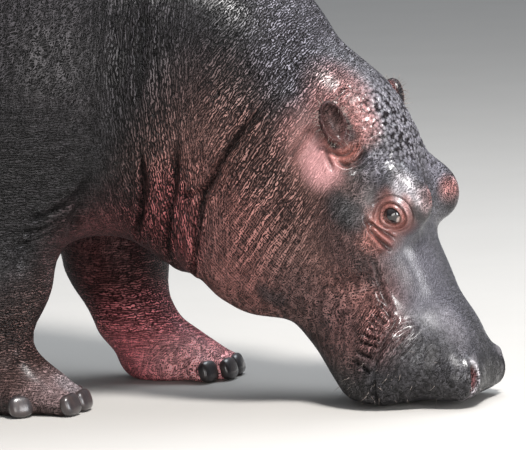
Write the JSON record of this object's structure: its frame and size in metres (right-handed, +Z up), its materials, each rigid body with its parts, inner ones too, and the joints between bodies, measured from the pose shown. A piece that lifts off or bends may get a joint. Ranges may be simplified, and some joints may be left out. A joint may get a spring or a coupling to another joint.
{
  "type": "hippopotamus figure",
  "caption": "Life-size figure of a standing hippopotamus with lowered head, thick barrel body, short legs with nailed toes, small ears and a short tail.",
  "frame": {"origin": "on the floor, under the middle of the figure's bounding box", "axes": "+X towards the head, +Y to the animal's left, +Z up"},
  "size_m": [2.7996, 1.0278, 1.315],
  "materials": {
    "hide": "bare wrinkled skin, damp, satin",
    "nail": "dark horn, satin",
    "eye": "wet dark eyeball"
  },
  "bodies": {
    "root": {"head": "hide", "left_ear": "hide", "left_eye": "eye", "left_fore_foot": "hide", "left_fore_inner_middle_nail": "nail", "left_fore_inner_nail": "nail", "left_fore_leg": "hide", "left_fore_outer_middle_nail": "nail", "left_fore_outer_nail": "nail", "left_hind_foot": "hide", "left_hind_inner_middle_nail": "nail", "left_hind_inner_nail": "nail", "left_hind_leg": "hide", "left_hind_outer_middle_nail": "nail", "left_hind_outer_nail": "nail", "lower_jaw": "hide", "neck": "hide", "right_ear": "hide", "right_eye": "eye", "right_fore_foot": "hide", "right_fore_inner_middle_nail": "nail", "right_fore_inner_nail": "nail", "right_fore_leg": "hide", "right_fore_outer_middle_nail": "nail", "right_fore_outer_nail": "nail", "right_hind_foot": "hide", "right_hind_inner_middle_nail": "nail", "right_hind_inner_nail": "nail", "right_hind_leg": "hide", "right_hind_outer_middle_nail": "nail", "right_hind_outer_nail": "nail", "tail": "hide", "trunk": "hide"}
  },
  "joints": []
}
